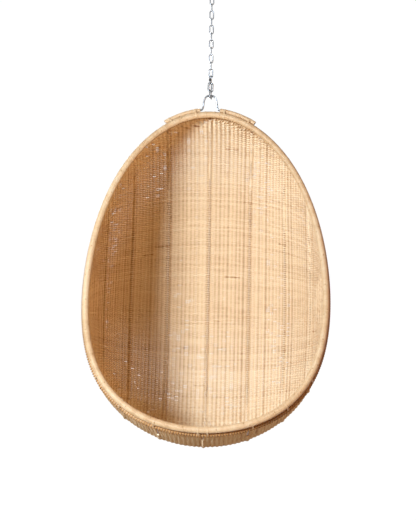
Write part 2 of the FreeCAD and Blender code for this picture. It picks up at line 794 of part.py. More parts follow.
def build():
    """Every piece of the chair by name."""
    parts = {
        "ceiling_plate": make_ceiling_plate(),
        "ceiling_eye": make_ceiling_eye(),
        "snap_hook_body": make_snap_hook_body(),
        "snap_hook_gate": make_snap_hook_gate(),
        "snap_hook_pin": make_snap_hook_pin(),
    }
    parts.update(make_main_chain())
    parts.update(make_sling())
    parts.update(make_quick_link())
    parts["bail"] = make_bail()
    cap = make_cap_pole()
    parts["cap_pole_right"] = cap
    parts["cap_pole_left"] = mirror_x(cap)
    parts["cap_lashings"] = make_lashings()
    rim = rim_ring(0.0, 0.0, RIM_POLE_RADIUS)
    parts["rim_pole"] = rim
    wrap_outer = rim_ring(0.0, 0.0, RIM_RADIUS)
    parts["rim_wrap"] = wrap_outer.cut(rim_ring(0.0, 0.0, RIM_POLE_RADIUS + CLEARANCE))
    parts["back_hoop"] = rim_ring(HOOP_SPREAD, HOOP_SETBACK, HOOP_RADIUS)
    parts["hoop_ties"] = make_ties()
    parts.update(make_shell())
    return parts


def main():
    """Writes one file for each piece."""
    os.makedirs("parts", exist_ok=True)
    for name, shape in build().items():
        if not shape.isValid():
            print("not valid:", name)
        box = shape.BoundBox
        print("%-24s %2d solids  volume %10.1f  box %7.1f %7.1f %7.1f  %7.1f %7.1f %7.1f" % (
            name, len(shape.Solids), shape.Volume,
            box.XMin, box.YMin, box.ZMin, box.XMax, box.YMax, box.ZMax,
        ))
        shape.exportStep("parts/%s.step" % name)


main()
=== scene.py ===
"""Hanging egg chair: woven shell, wrapped rim, bail, chain and ceiling fitting, dressed on the frame.

All sizes are in metres, in the frame's own axes: the origin is on the ceiling, +Z is up and the open front
faces -Y. The egg is laid out on its tilted rim plane: x runs across, v runs down the plane from the top of
the rim, and w runs back into the egg. A place on the rim is an angle from 0 at the top. On the shell a row
is an angle from 0 at the top to pi at the bottom, and a stake is a run: its distance from the middle, along
the widest row.
"""

import logging
import math
from dataclasses import dataclass
from enum import Enum
from functools import cached_property, partial

import bpy
import numpy as np
from bpy.types import Material, Node, NodeSocket, NodeTree, Object
from mathutils import Matrix, Vector


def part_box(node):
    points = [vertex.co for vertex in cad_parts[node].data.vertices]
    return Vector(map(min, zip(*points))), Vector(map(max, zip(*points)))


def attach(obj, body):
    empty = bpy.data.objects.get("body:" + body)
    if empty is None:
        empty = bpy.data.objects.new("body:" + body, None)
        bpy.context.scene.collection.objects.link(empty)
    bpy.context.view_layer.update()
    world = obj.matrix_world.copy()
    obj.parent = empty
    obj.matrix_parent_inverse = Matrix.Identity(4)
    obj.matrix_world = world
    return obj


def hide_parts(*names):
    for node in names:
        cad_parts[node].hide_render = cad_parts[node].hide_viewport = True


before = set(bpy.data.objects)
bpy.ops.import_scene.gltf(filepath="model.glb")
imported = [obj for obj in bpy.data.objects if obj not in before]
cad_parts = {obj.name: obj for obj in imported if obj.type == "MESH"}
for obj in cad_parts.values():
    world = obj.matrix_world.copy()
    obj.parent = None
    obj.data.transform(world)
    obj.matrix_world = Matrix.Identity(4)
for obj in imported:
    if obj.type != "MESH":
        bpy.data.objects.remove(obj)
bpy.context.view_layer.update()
log = logging.getLogger("egg_chair")
MM = 0.001
WHITE = (1.0, 1.0, 1.0, 1.0)
Array = np.ndarray
Pair = tuple[float, float]
Triple = tuple[float, float, float]
Inputs = dict[int | str, object]


class Side(Enum):
    """The two halves of the chair, with the sign of x on each."""

    RIGHT = 1
    LEFT = -1

    @property
    def word(self) -> str:
        """The half's name, as pieces and nodes have it."""
        return self.name.lower()

    @property
    def mirror(self) -> Array:
        """The factors that carry a point of the right half to this one."""
        return np.array([self.value, 1, 1])


def linear(code: str) -> tuple[float, ...]:
    """An sRGB hex colour, such as "E2BD86", as linear RGBA."""
    parts = [int(code[i:i + 2], 16) / 255 for i in (0, 2, 4)]
    return (*[p / 12.92 if p <= 0.04045 else ((p + 0.055) / 1.055) ** 2.4 for p in parts], 1.0)


def feed(tree: NodeTree, node: Node, inputs: Inputs) -> None:
    """Links or sets a node's inputs.

    Args:
        tree: the node's tree.
        node: the node.
        inputs: for each input, by name or number, its value or the socket or node that it is linked from.
    """
    for key, value in inputs.items():
        source = value.outputs[0] if isinstance(value, Node) else value
        if isinstance(source, NodeSocket):
            tree.links.new(source, node.inputs[key])
        else:
            node.inputs[key].default_value = source


def add(tree: NodeTree, kind: str, inputs: Inputs | None = None, **settings: object) -> Node:
    """Adds a node with its settings and links.

    Args:
        tree: the node tree that gets the node.
        kind: the node's type name.
        inputs: what its inputs get, as for feed.
        settings: the node's own properties.

    Returns:
        The new node.
    """
    made = tree.nodes.new(kind)
    for name, value in settings.items():
        setattr(made, name, value)
    feed(tree, made, inputs or {})
    return made


def ramp(tree: NodeTree, factor: Node, places: tuple[float, ...], colours: tuple[str, ...]) -> Node:
    """Adds a colour ramp.

    Args:
        tree: the material's tree.
        factor: the node that drives the ramp.
        places: where its colours lie, from 0 to 1.
        colours: their hex codes.

    Returns:
        The ramp node.
    """
    made = add(tree, "ShaderNodeValToRGB", {"Fac": factor})
    elements = made.color_ramp.elements
    while len(elements) < len(places):
        elements.new(0.5)
    for element, place, code in zip(elements, places, colours):
        element.position = place
        element.color = linear(code)
    return made


def plain_rays(tree: NodeTree) -> Node:
    """Adds a mask of the rays that see the room as white: camera, glossy and transmission rays.

    Args:
        tree: the tree of the material or world.

    Returns:
        The node whose value is 1 for such a ray.
    """
    path = add(tree, "ShaderNodeLightPath").outputs
    seen = path["Is Camera Ray"]
    for kind in ("Is Glossy Ray", "Is Transmission Ray"):
        seen = add(tree, "ShaderNodeMath", {0: seen, 1: path[kind]}, operation="MAXIMUM")
    return seen


@dataclass(frozen=True)
class Finish:
    """A real finish, made as one procedural material."""

    name: str

    @cached_property
    def material(self) -> Material:
        """The material, made at its first use.

        Returns:
            The material.
        """
        material = bpy.data.materials.new(self.name)
        material.use_nodes = True
        tree = material.node_tree
        feed(tree, tree.nodes["Principled BSDF"], self.surface(tree))
        return material

    def surface(self, tree: NodeTree) -> Inputs:
        """What the shader's inputs get: nothing, unless a finish says more."""
        return {}


@dataclass(frozen=True)
class RattanStrand(Finish):
    """Split rattan, core or peel: straw colours that drift along each strand, fine lengthwise fibres."""

    dark: str
    body: str
    light: str
    places: Triple = (0.08, 0.5, 0.86)
    tone_spread: float = 0.16
    blotch: float = 60 * MM
    blotch_share: float = 0.5
    # Real fibres are about 0.3 mm wide: they're drawn about three times as coarse, so that they show
    fibre: float = 9 * MM
    fibres_round: float = 9.0
    fibre_share: float = 0.3
    knot_gap: float = 0.0
    knot_width: float = 0.012
    knot_tone: float = -0.35
    roughness: float = 0.55
    roughness_spread: float = 0.2
    bump: float = 0.35
    bump_height: float = 0.3 * MM
    specular: float = 0.5

    def surface(self, tree: NodeTree) -> Inputs:
        """Builds the finish from the strand's own attributes.

        Args:
            tree: the material's tree.

        Returns:
            What the shader's inputs get.
        """
        new = partial(add, tree)
        tone, along, around, lane = [new("ShaderNodeAttribute", attribute_name=name).outputs["Fac"]
                                     for name in ("tone", "along", "around", "lane")]
        rates = ((along, 1 / self.blotch), (along, 1 / self.fibre), (around, self.fibres_round))
        far, near, ring = [new("ShaderNodeMath", {0: source, 1: rate}, operation="MULTIPLY")
                           for source, rate in rates]
        far = new("ShaderNodeCombineXYZ", {0: far, 1: lane})
        near = new("ShaderNodeCombineXYZ", {0: near, 1: lane, 2: ring})
        blotch = new("ShaderNodeTexNoise", {"Vector": far, "Scale": 1.0, "Detail": 3.0})
        fibre = new("ShaderNodeTexNoise", {"Vector": near, "Scale": 1.0, "Detail": 2.0})
        # Both noises lie about 0.5, so half of each one's share comes off
        middle = 0.5 - 0.5 * self.blotch_share - 0.5 * self.fibre_share
        shade = new("ShaderNodeMath", {0: tone, 1: self.tone_spread, 2: middle}, operation="MULTIPLY_ADD")
        for noise, share in ((blotch, self.blotch_share), (fibre, self.fibre_share)):
            shade = new("ShaderNodeMath", {0: noise, 1: share, 2: shade}, operation="MULTIPLY_ADD")
        if self.knot_gap:
            turns = new("ShaderNodeMath", {0: along, 1: 1 / self.knot_gap, 2: lane}, operation="MULTIPLY_ADD")
            part = new("ShaderNodeMath", {0: turns}, operation="FRACT")
            knot = new("ShaderNodeMath", {0: part, 1: self.knot_width}, operation="LESS_THAN")
            shade = new("ShaderNodeMath", {0: knot, 1: self.knot_tone, 2: shade}, operation="MULTIPLY_ADD")
        spread = self.roughness_spread
        rough = new("ShaderNodeMath", {0: fibre, 1: spread, 2: self.roughness - spread / 2},
                    operation="MULTIPLY_ADD")
        bump = new("ShaderNodeBump", {"Height": fibre, "Strength": self.bump, "Distance": self.bump_height})
        colour = ramp(tree, shade, self.places, (self.dark, self.body, self.light))
        return {"Base Color": colour, "Roughness": rough, "Normal": bump, "IOR": 1.5,
                "Specular IOR Level": self.specular}


@dataclass(frozen=True)
class Mottled(Finish):
    """A solid's finish on Object coordinates: a mottle for its colour, a grain for its gloss and bump."""

    colours: tuple[str, ...]
    places: tuple[float, ...] = (0.32, 0.67, 0.97)
    mottle: float = 70 * MM
    mottle_detail: float = 4.0
    grain: float = 3 * MM
    grain_detail: float = 2.0
    grain_share: float = 0.35
    roughness: float = 0.42
    roughness_spread: float = 0.0
    bump: float = 0.2
    bump_height: float = 0.3 * MM
    metallic: float = 0.0

    def surface(self, tree: NodeTree) -> Inputs:
        """Builds the finish.

        Args:
            tree: the material's tree.

        Returns:
            What the shader's inputs get.
        """
        new = partial(add, tree)
        place = new("ShaderNodeTexCoord").outputs["Object"]
        mottle, grain = [
            new("ShaderNodeTexNoise", {"Vector": place, "Scale": 1 / size, "Detail": detail})
            for size, detail in ((self.mottle, self.mottle_detail), (self.grain, self.grain_detail))]
        shade = new("ShaderNodeMath", {0: grain, 1: self.grain_share, 2: mottle}, operation="MULTIPLY_ADD")
        rough, spread = self.roughness, self.roughness_spread
        if spread:
            rough = new("ShaderNodeMath", {0: grain, 1: spread, 2: rough - spread / 2},
                        operation="MULTIPLY_ADD")
        bump = new("ShaderNodeBump", {"Height": grain, "Strength": self.bump, "Distance": self.bump_height})
        return {"Base Color": ramp(tree, shade, self.places, self.colours), "Roughness": rough,
                "Normal": bump, "Metallic": self.metallic}


@dataclass(frozen=True)
class RattanPole(Mottled):
    """A whole rattan pole: satin straw or brown, mottled and flecked."""


@dataclass(frozen=True)
class Steel(Mottled):
    """Steel, plated or brushed: a metal whose gloss is broken by fine scuffs.

    Real scuffs are finer than 0.1 mm: the grain draws them coarse, so that they show.
    """

    places: tuple[float, ...] = (0.35, 0.65)
    mottle: float = 7.5 * MM
    mottle_detail: float = 2.0
    grain: float = 1.5 * MM
    grain_detail: float = 4.0
    grain_share: float = 0.0
    roughness_spread: float = 0.18
    bump: float = 0.12
    bump_height: float = 0.1 * MM
    metallic: float = 1.0


# Core reed: the pith of the cane, matt, straw to honey, drifting in colour along each strand
WEFT = RattanStrand("RattanCoreWeft", "9E642E", "F0D4A8", "FBEDD0", blotch=90 * MM, blotch_share=0.35,
                    roughness=0.75, specular=0.2)
# Stakes: the same core, browner
STAKES = RattanStrand("RattanCoreStake", "94602E", "CF9F69", "E8C496", tone_spread=0.12, roughness=0.75,
                      specular=0.2)
# Binding cane: satin skin of the cane, split flat, smoother than core, with a dark leaf knot now and then
PEEL = RattanStrand("RattanPeelBinding", "B07E48", "E4C292", "F4DFBA", knot_gap=0.31, roughness=0.42,
                    tone_spread=0.1, blotch=25 * MM, bump=0.2)
# Border and hoop stitches: older, browner core
BORDER = RattanStrand("RattanCoreBorder", "7A4E24", "B98850", "DDB684", tone_spread=0.12, roughness=0.75,
                      specular=0.2)
# Rim pole and the cut ends of the caps: the uncut cane, brown skin, seen only between its bindings
POLE = RattanPole("RattanPoleSkin", ("5E3A1C", "8E6236", "B98A56"))
# Rib: a peeled pole, brown of its own and drawn darker still than the weft that covers it, as painted shade
# between the rows that cross it
RIB = RattanPole("RattanRibPole", ("6E4420", "94622F", "B4824A"))
# Hoop: a peeled cane, light brown, under its looped stitches
HOOP = RattanPole("PeeledRattanHoop", ("8E6234", "BC8E58", "DCB684"))
# Chain: electro-galvanised mild steel, grey with a faint bloom
CHAIN = Steel("ZincPlatedChainSteel", ("84888C", "B9BCBE"), roughness=0.26)
# Quick link: plated steel that has darkened
QUICK = Steel("DarkPlatedQuickLink", ("5A5C5E", "7E8082"), roughness=0.24)
# Bail: bent stainless rod, brushed
BAIL = Steel("BrushedStainlessBail", ("7D8083", "A9ABAD"), roughness=0.3, grain=0.8 * MM, mottle=4 * MM)
# Hook: nickel plate, smooth and faintly warm
HOOK = Steel("NickelPlatedHook", ("ADA9A2", "C9C6C0"), roughness=0.18)
# Ceiling fitting: brushed steel plate and eye
CEILING = Steel("BrushedSteelCeilingPlate", ("989A9C", "BDBEBF"), roughness=0.34, grain=2.5 * MM,
                mottle=12.5 * MM)
# Floor: matt paper
FLOOR = Finish("MattWhitePaper")


def smooth_noise(x: Array, y: Array | float, seed: int, waves: int = 7) -> Array:
    """A smooth random field from a few seeded sine waves.

    Args:
        x: first coordinate, in waves.
        y: second coordinate, in waves.
        seed: the seed.
        waves: how many sine waves are added.

    Returns:
        Values of about -1 to 1.
    """
    rng = np.random.default_rng(seed)
    total = np.zeros(np.broadcast(x, y).shape)
    for _ in range(waves):
        angle = rng.uniform(0, math.tau)
        rate = rng.uniform(0.5, 1.5) * math.tau
        phase = rng.uniform(0, math.tau)
        total = total + np.sin(rate * (x * math.cos(angle) + y * math.sin(angle)) + phase)
    return total / math.sqrt(waves)


def path_length(points: Array) -> Array:
    """Distance along a line at each of its points."""
    steps = np.linalg.norm(np.diff(points, axis=0), axis=1)
    return np.concatenate([[0.0], np.cumsum(steps)])


def unit(vectors: Array) -> Array:
    """The same directions with a length of 1."""
    return vectors / np.linalg.norm(vectors, axis=-1, keepdims=True)


def row_angles(inset: float, count: int) -> Array:
    """Evenly spaced row angles, from an inset below the top to the same inset above the bottom."""
    return np.linspace(inset, math.pi - inset, count)


@dataclass
class Strand:
    """One strand: its centre line and what the sweep and the finish need at each point.

    Its lane is any number that sets it apart from other strands in the noise of its finish.
    """

    points: Array
    out: Array
    half_width: Array
    lift: Array
    tone: Array
    along: Array
    lane: float
    closed: bool = False

    @classmethod
    def even(cls, points: Array, out: Array, half_width: float, tone: Array | float, lane: float,
             closed: bool = False) -> "Strand":
        """A strand of one width that isn't lifted off its line.

        Args:
            points: its centre line.
            out: its outward directions.
            half_width: half its width.
            tone: its tone, at each point or for all.
            lane: its lane.
            closed: whether its ends meet.

        Returns:
            The strand.
        """
        none = np.zeros(len(points))
        return cls(points, out, none + half_width, none, none + tone, path_length(points), lane, closed)


@dataclass
class Guide:
    """A line to wind round: its points, with two unit directions square to it."""

    centre: Array
    side: Array
    up: Array
    closed: bool = False


@dataclass(frozen=True)
class Winding:
    """A flattened strand wound round a line, a number of points to each turn."""

    pitch: float
    half_width: float
    half_thickness: float
    steps: int

    @property
    def flatness(self) -> float:
        """The strand's thickness as a share of its width."""
        return self.half_thickness / self.half_width

    def wind(self, guide: Guide, radius: float, seed: int, stretch: float = 0.0) -> Strand:
        """Winds the strand.

        Args:
            guide: the line.
            radius: the winding's radius.
            seed: seed of the strand's colour drift.
            stretch: how much more the radius is along the guide's up direction.

        Returns:
            The wound strand.
        """
        lengths = path_length(guide.centre)
        turns = max(1, round(lengths[-1] / self.pitch))
        count = turns * self.steps
        share = np.arange(count if guide.closed else count + 1) / count
        run = share * lengths[-1]
        place, first, second = [np.stack([np.interp(run, lengths, values[:, i]) for i in range(3)], axis=-1)
                                for values in (guide.centre, guide.side, guide.up)]
        angle = share * turns * math.tau
        cosine, sine, tall = np.cos(angle)[:, None], np.sin(angle)[:, None], radius + stretch
        out = unit(first * cosine / radius + second * sine / tall)
        points = place + first * cosine * radius + second * sine * tall
        # A slow drift of colour along the line and a quicker one from turn to turn
        tone = smooth_noise(run * 3, 0.0, seed) * 0.7 + smooth_noise(run * 40, 0.0, seed + 1) * 0.4
        return Strand.even(points, out, self.half_width, tone, seed, guide.closed)


def put(piece: Object, body: str, slot: str, *nodes: str) -> None:
    """Rides a piece on its body and hides the frame nodes that it stands for.

    Args:
        piece: the finished piece.
        body: the body that it moves with.
        slot: not used.
        nodes: the nodes that it replaces.
    """
    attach(piece, body)
    if nodes:
        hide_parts(*nodes)
    faces = sum(len(p.vertices) - 2 for p in piece.data.polygons)
    log.info("%s: %d triangles on %s", piece.name, faces, body)


def dress(start: str, finish: Finish) -> None:
    """Gives a better material to every frame node whose name starts in one way.

    Args:
        start: how the names start.
        finish: the finish.
    """
    for node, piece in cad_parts.items():
        if node.startswith(start):
            for slot in piece.material_slots:
                slot.material = finish.material
            log.info("%s: dressed in %s", node, finish.name)


class StrandSweep:
    """The node tree that lifts strands off their surface and sweeps a flattened profile along them."""

    def __init__(self) -> None:
        """Builds the tree once for all strands."""
        tree = bpy.data.node_groups.new("StrandSweep", "GeometryNodeTree")
        face, new = tree.interface, partial(add, tree)
        face.new_socket("Geometry", in_out="OUTPUT", socket_type="NodeSocketGeometry")
        for name, kind in (("Geometry", "Geometry"), ("Profile sides", "Int"), ("Flatness", "Float"),
                           ("Finish", "Material")):
            face.new_socket(name, in_out="INPUT", socket_type="NodeSocket" + kind)
        given = new("NodeGroupInput").outputs
        out, lift, width = [
            new("GeometryNodeInputNamedAttribute", {"Name": name}, data_type=kind)
            for name, kind in (("out", "FLOAT_VECTOR"), ("lift", "FLOAT"), ("half_width", "FLOAT"))]
        shift = new("ShaderNodeVectorMath", {0: out, "Scale": lift}, operation="SCALE")
        lifted = new("GeometryNodeSetPosition", {"Geometry": given["Geometry"], "Offset": shift})
        lines = new("GeometryNodeMeshToCurve", {"Mesh": lifted})
        turned = new("GeometryNodeSetCurveNormal", {"Curve": lines, "Normal": out}, mode="FREE")
        circle = new("GeometryNodeCurvePrimitiveCircle",
                     {"Resolution": given["Profile sides"], "Radius": 1.0})
        flat = new("ShaderNodeCombineXYZ", {0: 1.0, 1: given["Flatness"], 2: 1.0})
        profile = new("GeometryNodeTransform",
                      {"Geometry": circle, "Scale": flat, "Rotation": (0.0, 0.0, math.pi / 2)})
        place = new("GeometryNodeSplineParameter")
        profile = new("GeometryNodeStoreNamedAttribute",
                      {"Geometry": profile, "Name": "around", "Value": place},
                      data_type="FLOAT", domain="POINT")
        swept = new("GeometryNodeCurveToMesh",
                    {"Curve": turned, "Profile Curve": profile, "Scale": width, "Fill Caps": True})
        smooth = new("GeometryNodeSetShadeSmooth", {"Geometry": swept, "Shade Smooth": True})
        real = new("GeometryNodeRealizeInstances", {"Geometry": smooth})
        dressed = new("GeometryNodeSetMaterial", {"Geometry": real, "Material": given["Finish"]})
        new("NodeGroupOutput", {"Geometry": dressed})
        self.tree = tree
        self.sockets = {i.name: i.identifier for i in face.items_tree if i.in_out == "INPUT"}

    def lines(self, name: str, strands: list[Strand]) -> bpy.types.Mesh:
        """Draws the strands' centre lines, with what the sweep and the finish read at each point.

        Args:
            name: the mesh's name.
            strands: the strands.

        Returns:
            A mesh of edges.
        """
        lines = bpy.data.meshes.new(name)
        points = np.concatenate([s.points for s in strands])
        starts = np.cumsum([0] + [len(s.points) for s in strands])
        edges = []
        for start, strand in zip(starts, strands):
            run = np.arange(start, start + len(strand.points))
            pairs = np.stack([run, np.roll(run, -1)], axis=1)
            edges.append(pairs if strand.closed else pairs[:-1])
        joined = np.concatenate(edges)
        lines.vertices.add(len(points))
        lines.vertices.foreach_set("co", points.astype(np.float32).ravel())
        lines.edges.add(len(joined))
        lines.edges.foreach_set("vertices", joined.astype(np.int32).ravel())
        values = {key: [getattr(s, key) for s in strands] for key in ("half_width", "lift", "tone", "along")}
        values["lane"] = [np.full(len(s.points), s.lane) for s in strands]
        for key, parts in values.items():
            attribute = lines.attributes.new(key, "FLOAT", "POINT")
            attribute.data.foreach_set("value", np.concatenate(parts).astype(np.float32))
        attribute = lines.attributes.new("out", "FLOAT_VECTOR", "POINT")
        out = np.concatenate([s.out for s in strands])
        attribute.data.foreach_set("vector", out.astype(np.float32).ravel())
        lines.update()
        return lines

    def lay(self, name: str, strands: list[Strand], finish: Finish, flatness: float, slot: str, *nodes: str,
            sides: int = 6) -> None:
        """Sweeps strands into one plain mesh on the egg.

        Args:
            name: the piece's name.
            strands: the strands of the piece.
            finish: its finish.
            flatness: the strand's thickness as a share of its width.
            slot: the material slot's name, handed on to put.
            nodes: the nodes that it replaces.
            sides: sides of the profile.
        """
        lines = self.lines(name + "_lines", strands)
        piece = bpy.data.objects.new(name, lines)
        bpy.context.scene.collection.objects.link(piece)
        modifier = piece.modifiers.new("Sweep", "NODES")
        modifier.node_group = self.tree
        for key, value in (("Profile sides", sides), ("Flatness", flatness), ("Finish", finish.material)):
            modifier[self.sockets[key]] = value
        graph = bpy.context.evaluated_depsgraph_get()
        mesh = bpy.data.meshes.new_from_object(piece.evaluated_get(graph), preserve_all_data_layers=True,
                                               depsgraph=graph)
        mesh.name = name
        piece.modifiers.remove(modifier)
        piece.data = mesh
        bpy.data.meshes.remove(lines)
        put(piece, "egg", slot, *nodes)


@dataclass
class EggForm:
    """The egg's shape: its rim, its hoop and the surface of its woven shell."""

    tilt: float = math.radians(23.8)
    length: float = 1.129
    half_width: float = 0.3855
    taper: float = 0.134
    fullness: float = 0.141
    low_shoulder: float = 0.095
    pole_radius: float = 9.2 * MM
    rim_radius: float = 11.0 * MM
    hoop_radius: float = 4.8 * MM
    hoop_setback: float = 24.0 * MM
    hoop_spread: float = 9.5 * MM
    edge_gap: float = 4.5 * MM
    depth: float = 0.560
    heart: float = 0.15
    top_sharpness: float = 0.45
    bottom_sharpness: float = 0.37
    section: float = 2.2
    bulge: float = 0.085
    fan_degrees: Triple = (25.0, 17.0, 6.0)
    gather_share: float = 0.07

    def __post_init__(self) -> None:
        """Reads the rim's place from the frame and tabulates the stakes."""
        _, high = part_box("rim_pole")
        self.top_y = high.y - self.pole_radius
        self.top_z = high.z - self.pole_radius
        self.edge_depth = self.hoop_setback + self.hoop_radius + self.edge_gap
        self.deep = Vector((0, math.cos(self.tilt), -math.sin(self.tilt)))
        rows = row_angles(0.002, 2000)
        self.widest_row = float(rows[np.argmax(self.reach(rows))])
        turns = np.linspace(math.pi / 2, 0.0, 3000)
        self.run_table = path_length(self.shell(turns, np.full_like(turns, self.widest_row)))
        self.x_table = self.reach(np.array([self.widest_row]))[0] * np.cos(turns) ** (2 / self.section)
        self.x_table[0] = 0.0

    def place(self, x: Array, v: Array, w: Array) -> Array:
        """Points given across, down and back from the rim plane, in the frame."""
        sine, cosine = math.sin(self.tilt), math.cos(self.tilt)
        return np.stack([x + 0 * v, self.top_y - v * sine + w * cosine, self.top_z - v * cosine - w * sine],
                        axis=-1)

    def rim_flat(self, angle: Array) -> tuple[Array, Array]:
        """The x and v of the rim's centre line."""
        c = np.cos(angle)
        return (self.half_width * np.sin(angle) * (1 - self.taper * c + self.fullness * c ** 2
                                                   - self.low_shoulder * c ** 3), self.length / 2 * (1 - c))

    def beside_rim(self, angle: Array, offset: float) -> tuple[Array, Array]:
        """The rim's centre line, moved outwards on its plane.

        Args:
            angle: places on the rim.
            offset: how far outwards.

        Returns:
            Their x and v.
        """
        step = 1e-4
        x0, v0 = self.rim_flat(angle - step)
        x1, v1 = self.rim_flat(angle + step)
        run = np.hypot(x1 - x0, v1 - v0)
        x, v = self.rim_flat(angle)
        return x + offset * (v1 - v0) / run, v - offset * (x1 - x0) / run

    def rim(self, angle: Array, offset: float = 0.0, depth: float = 0.0) -> Array:
        """Points outwards and back from places on the rim, in the frame."""
        x, v = self.beside_rim(angle, offset)
        return self.place(x, v, np.full_like(x, depth))

    def outwards(self, angle: Array) -> Array:
        """Unit vectors that point out of the rim, on its plane."""
        step = 0.01
        return (self.rim(angle, step) - self.rim(angle)) / step

    def direction(self, angle: float) -> Array:
        """The unit direction of the rim at one place."""
        ahead, behind = self.rim(np.array([angle + 1e-3, angle - 1e-3]))
        return (ahead - behind) / np.linalg.norm(ahead - behind)

    def guide(self, angle: Array, offset: float, depth: float = 0.0, closed: bool = False) -> Guide:
        """A line beside the rim, with its outward and backward directions."""
        up = np.repeat(np.array(self.deep)[None, :], len(angle), axis=0)
        return Guide(self.rim(angle, offset, depth), self.outwards(angle), up, closed)

    def fan(self, row: Array) -> Array:
        """The rim angle at which a weft row ends."""
        a, b, c = [math.radians(value) for value in self.fan_degrees]
        return row + a * np.sin(row) + b * np.sin(2 * row) + c * np.sin(3 * row)

    def reach(self, row: Array) -> Array:
        """The widest stake that a row crosses."""
        gather = 1 - self.gather_share * ((1 - np.cos(row)) / 2) ** 2
        return self.beside_rim(self.fan(row), self.hoop_spread)[0] / gather

    def shell(self, turn: Array, row: Array) -> Array:
        """Points of the shell's middle surface, on its right half.

        Args:
            turn: 0 at the right edge, a quarter turn at the middle of the back.
            row: the row angle.

        Returns:
            The points.
        """
        edge_x, edge_v = self.beside_rim(self.fan(row), self.hoop_spread)
        share = (1 - np.cos(row)) / 2
        a, b = self.top_sharpness, self.bottom_sharpness
        peak = (a / (a + b)) ** a * (b / (a + b)) ** b
        back_v = -self.hoop_spread + (self.length + 2 * self.hoop_spread) * share
        back_w = self.edge_depth + (self.depth - self.edge_depth) * share ** a * (1 - share) ** b / peak
        power = 2 / self.section
        across = np.clip(np.cos(turn), 0, 1) ** power
        inward = np.clip(np.sin(turn), 0, 1) ** power
        swell = 1 + self.bulge * 4 * share * (1 - share) * np.sin(2 * turn) ** 2
        v = edge_v + (back_v - edge_v) * inward
        w = self.edge_depth + (back_w - self.edge_depth) * inward
        return self.place(edge_x * across * swell, v, w)

    def turn_at(self, run: Array, row: Array) -> Array:
        """Where the stake at a run crosses a row, as a turn angle."""
        share = np.clip(np.interp(run, self.run_table, self.x_table) / self.reach(row), 0.0, 1.0)
        return np.arccos(share ** (self.section / 2))

    def run_end(self, row: Array) -> Array:
        """The run at which a row meets the edge."""
        return np.interp(self.reach(row), self.x_table, self.run_table)

    def normal(self, turn: Array, row: Array) -> Array:
        """Unit vectors that point out of the shell, on its right half.

        Args:
            turn: the turn angle.
            row: the row angle.

        Returns:
            The vectors.
        """
        step, inset = 2e-3, 0.03
        turn = np.clip(turn, step, math.pi / 2 - 2 * step)
        row = np.clip(row, inset, math.pi - inset)
        along = self.shell(turn + step, row) - self.shell(turn - step, row)
        down = self.shell(turn, row + step) - self.shell(turn, row - step)
        found = unit(np.cross(along, down))
        heart = self.place(np.zeros(1), np.full(1, self.length / 2), np.full(1, self.heart))[0]
        return found * np.sign(np.sum(found * (self.shell(turn, row) - heart), axis=-1, keepdims=True))

    def stake(self, run: Array | float, row: Array, side: Side) -> tuple[Array, Array]:
        """Points of one half where the stakes at a run cross rows, and the directions out of the shell."""
        turn = self.turn_at(np.full_like(row, run), row)
        return self.shell(turn, row) * side.mirror, self.normal(turn, row) * side.mirror


